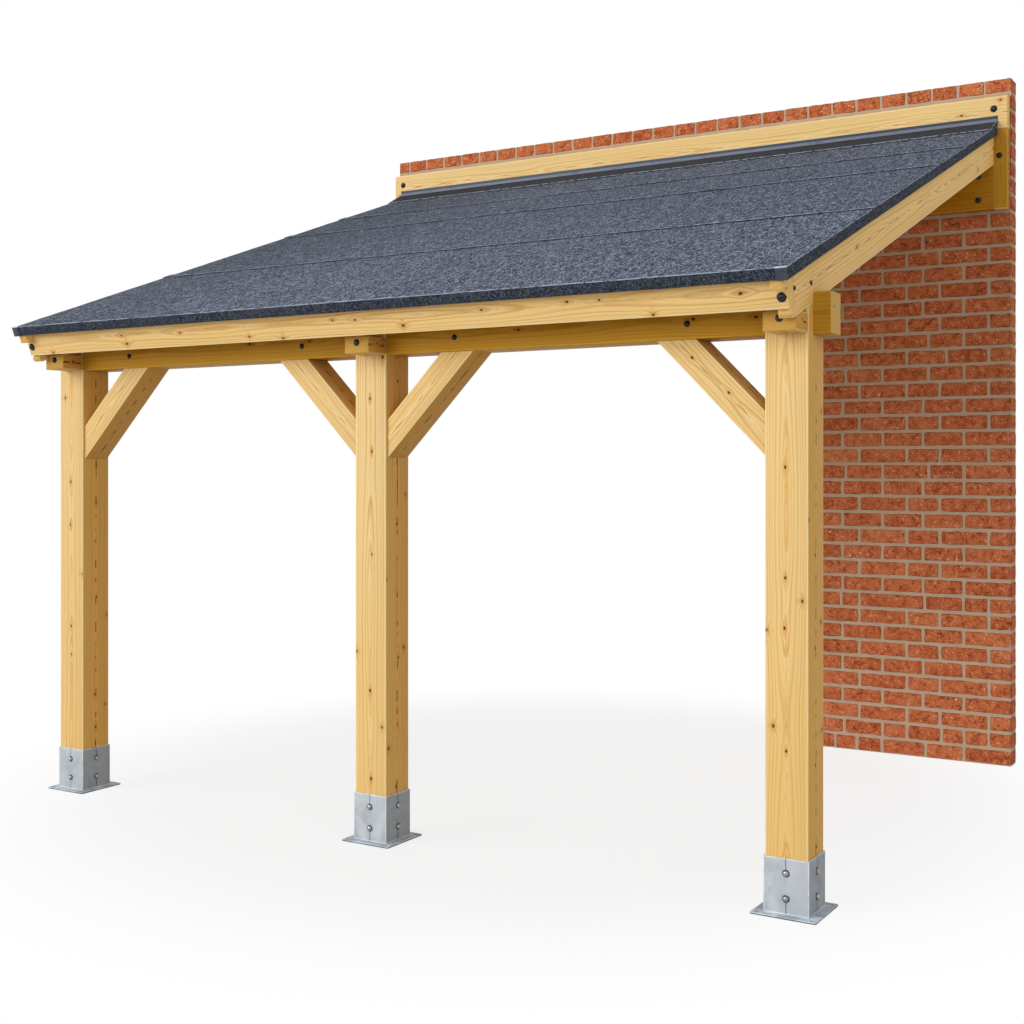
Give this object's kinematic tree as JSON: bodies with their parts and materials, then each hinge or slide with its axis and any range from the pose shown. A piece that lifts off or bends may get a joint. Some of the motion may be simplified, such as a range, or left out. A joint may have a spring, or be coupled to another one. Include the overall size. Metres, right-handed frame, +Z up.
{
  "type": "lean-to gazebo",
  "caption": "Open timber lean-to gazebo: posts in steel shoes, braced front beam, felted sloping roof carried at the back by a brick display wall.",
  "frame": {"origin": "on the ground under the middle of the whole structure", "axes": "+X to the right along the front, +Y from the eaves to the wall, +Z up"},
  "size_m": [3.75, 3.067, 3.403],
  "materials": {
    "timber": "planed, clear-treated softwood",
    "roof_boards": "planed tongue-and-groove boards",
    "brickwork": "creased facing bricks with cement joints",
    "mineral_felt": "mineral-surfaced roofing felt",
    "galvanised_steel": "hot-dip galvanised",
    "flashing_metal": "coated flashing, dull"
  },
  "bodies": {
    "root": {"wall_pier": "brickwork", "wall_head": "brickwork", "top_rail": "timber", "end_board_left": "timber", "end_board_right": "timber", "ledger_upper": "timber", "ledger_lower": "timber", "rafter_left": "timber", "rafter_right": "timber", "rafter_centre": "timber", "rafters_left_bay": "timber", "rafters_right_bay": "timber", "fascia": "timber", "front_beam": "timber", "post_left": "timber", "post_centre": "timber", "post_right": "timber", "shoe_left": "galvanised_steel", "shoe_centre": "galvanised_steel", "shoe_right": "galvanised_steel", "brace_left": "timber", "brace_centre_left": "timber", "brace_centre_right": "timber", "brace_right": "timber", "corbel_left": "timber", "corbel_centre": "timber", "corbel_right": "timber", "roof_deck": "roof_boards", "felt_sheet_1": "mineral_felt", "felt_sheet_2": "mineral_felt", "felt_sheet_3": "mineral_felt", "felt_sheet_4": "mineral_felt", "felt_fillet": "mineral_felt", "flashing": "flashing_metal", "corner_cap_left": "flashing_metal", "corner_cap_right": "flashing_metal"}
  },
  "joints": []
}
